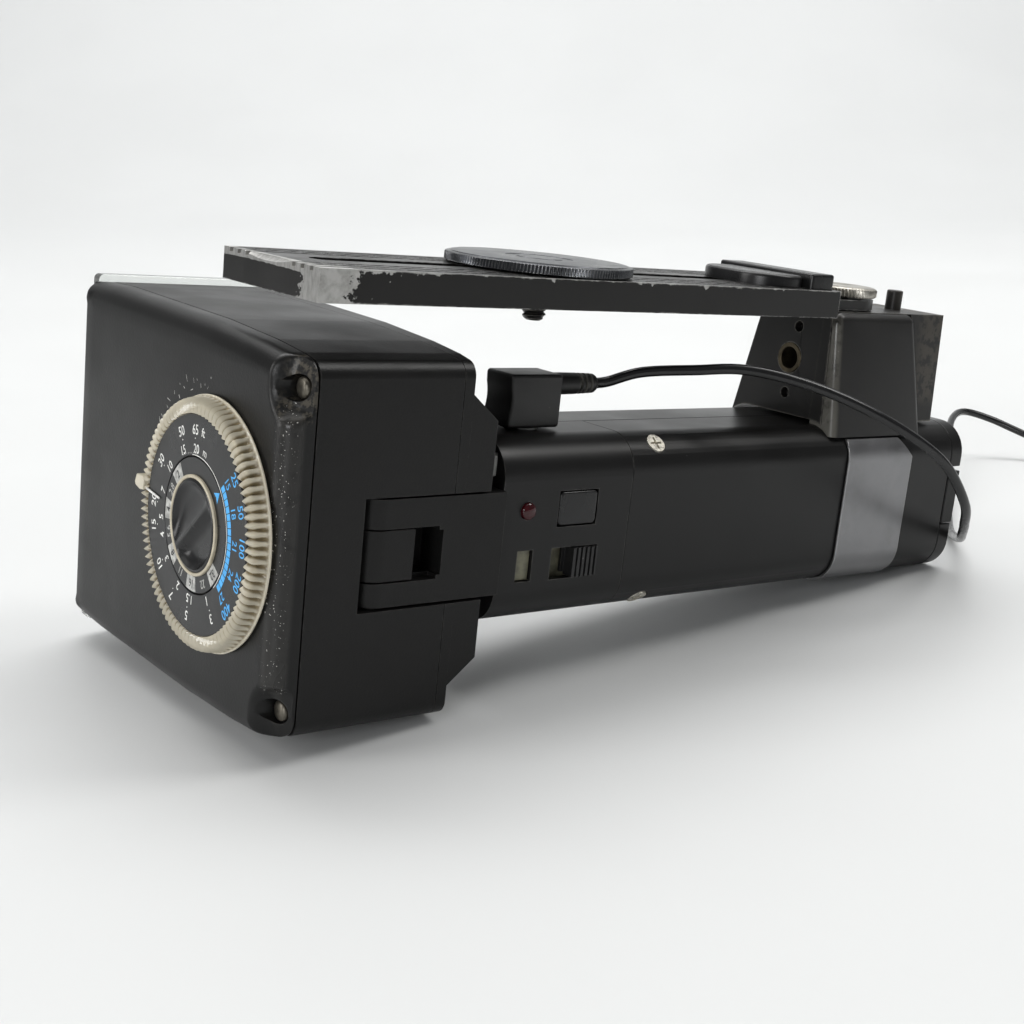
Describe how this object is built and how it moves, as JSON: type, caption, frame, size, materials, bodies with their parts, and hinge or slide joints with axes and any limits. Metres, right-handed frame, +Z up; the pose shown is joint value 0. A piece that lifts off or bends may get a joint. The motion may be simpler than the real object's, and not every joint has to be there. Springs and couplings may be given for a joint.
{
  "type": "handle mount flash",
  "caption": "Camera flash lying on its side: boxy tilting lamp head with a round dial, long rounded handle, clamped bracket with a slotted camera plate, and a sync cord.",
  "frame": {"origin": "on the table under the middle of the flash as it lies on its side, its cord left out", "axes": "+X along the handle from the lamp head to the base, +Y towards the side the lamp's window faces, +Z up"},
  "size_m": [0.4255, 0.1482, 0.1161],
  "materials": {
    "black_shell": "fine moulded grain, worn glossy on its edges",
    "black_smooth": "smooth black plastic",
    "grip_black": "smooth satin grip",
    "clear": "clear moulded window, ribbed inside",
    "clear_ring": "clear plastic, slightly yellowed",
    "scale_black": "black disc with printed scales",
    "cream": "cream plastic",
    "red_lens": "clear red plastic",
    "screw_metal": "plated steel screws",
    "steel": "plain steel",
    "band_metal": "satin rolled sheet",
    "cast_black": "black painted casting, worn brown on its edges",
    "plate_metal": "black painted aluminium, worn bare at its edges",
    "brass": "aged brass bush",
    "wheel_metal": "dark anodised, knurled rim",
    "wheel_light": "worn bare aluminium, knurled rim",
    "mirror_metal": "polished reflector",
    "tube_glass": "clear glass tube",
    "board_green": "circuit board",
    "coil_brown": "wound coil",
    "capacitor_blue": "sleeved can",
    "cell_sleeve": "sleeved cell",
    "cord_black": "smooth cord sheath"
  },
  "bodies": {
    "handle": {"hinge_arm": "black_shell", "arm_catch": "steel", "control_panel": "black_shell", "handle_front": "grip_black", "grip_back": "grip_black", "handle_screws": "screw_metal", "ready_lamp": "red_lens", "check_window": "cream", "switch_plate": "cream", "control_board": "board_green", "sync_socket": "steel", "clamp_band": "band_metal", "bracket_block": "cast_black", "bracket_cover": "cast_black", "socket_bush": "brass", "bracket_screws": "steel", "clamp_stud": "steel", "camera_plate": "plate_metal", "plate_pad": "black_smooth", "plate_block": "black_smooth", "battery_basket": "black_smooth", "battery_cells": "cell_sleeve", "battery_contacts": "steel", "sync_plug": "cord_black", "sync_cord": "cord_black", "coaxial_plug": "cord_black", "coaxial_tip": "screw_metal"},
    "head": {"head_shell": "black_shell", "dial_cover": "black_shell", "head_base_cover": "black_shell", "cover_screws": "screw_metal", "lens": "clear", "lens_frame": "black_smooth", "reflector": "mirror_metal", "flash_tube": "tube_glass", "tube_caps": "steel", "main_capacitor": "capacitor_blue", "head_board": "board_green", "trigger_coil": "coil_brown", "hinge_pin": "steel"},
    "ring": {"dial_ring": "clear_ring", "scale_disc": "scale_black"},
    "knob": {"aperture_disc": "scale_black", "knob_collar": "cream", "dial_knob": "black_smooth"},
    "release": {"tilt_release": "black_shell"},
    "test": {"test_button": "black_shell"},
    "switch": {"power_switch": "black_smooth"},
    "clamp": {"clamp_wheel": "wheel_light"},
    "pin": {"lock_pin": "cast_black"},
    "carriage": {"screw_carriage": "steel"},
    "screw": {"camera_screw": "steel", "camera_wheel": "wheel_metal"},
    "cap": {"base_cap": "grip_black"},
    "latch": {"cap_latch": "black_shell"}
  },
  "joints": [
    {"name": "head_tilt", "type": "hinge", "parent": "handle", "child": "head", "pos_m": [-0.09149, -0.05227, 0.04849], "axis": [0.1138, -0.032, 0.993], "range_deg": [0, 90]},
    {"name": "dial_ring_turn", "type": "hinge", "parent": "head", "child": "ring", "pos_m": [-0.12021, -0.02703, 0.0526], "axis": [-0.9935, 0, 0.1139], "range_deg": [-120, 120]},
    {"name": "dial_knob_turn", "type": "hinge", "parent": "head", "child": "knob", "pos_m": [-0.12021, -0.02703, 0.0526], "axis": [-0.9935, 0, 0.1139], "range_deg": [-150, 150]},
    {"name": "tilt_release_slide", "type": "slide", "parent": "handle", "child": "release", "axis": [0.9935, 0, -0.1139], "range_m": [0, 0.005], "stiffness_N_per_m": 200, "springref_m": -0.002},
    {"name": "test_press", "type": "slide", "parent": "handle", "child": "test", "axis": [0.0036, 0.9995, 0.0318], "range_m": [0, 0.0012], "stiffness_N_per_m": 400, "springref_m": -0.001},
    {"name": "power_slide", "type": "slide", "parent": "handle", "child": "switch", "axis": [-0.9935, 0, 0.1139], "range_m": [0, 0.006]},
    {"name": "clamp_turn", "type": "hinge", "parent": "handle", "child": "clamp", "pos_m": [0.08539, -0.03839, 0.08566], "axis": [0.1138, -0.032, 0.993], "continuous": true},
    {"name": "lock_pin_press", "type": "slide", "parent": "handle", "child": "pin", "axis": [-0.1138, 0.032, -0.993], "range_m": [0, 0.003], "stiffness_N_per_m": 300, "springref_m": -0.002},
    {"name": "screw_slide", "type": "slide", "parent": "handle", "child": "carriage", "axis": [0.9935, 0, -0.1139], "range_m": [-0.05, 0.04]},
    {"name": "screw_turn", "type": "hinge", "parent": "carriage", "child": "screw", "pos_m": [-0.02805, -0.03419, 0.0988], "axis": [0.1138, -0.032, 0.993], "continuous": true},
    {"name": "cap_slide", "type": "slide", "parent": "handle", "child": "cap", "axis": [0.1138, -0.032, 0.993], "range_m": [0, 0.052]},
    {"name": "latch_press", "type": "slide", "parent": "cap", "child": "latch", "axis": [0.0036, 0.9995, 0.0318], "range_m": [0, 0.001], "stiffness_N_per_m": 400, "springref_m": -0.001}
  ]
}
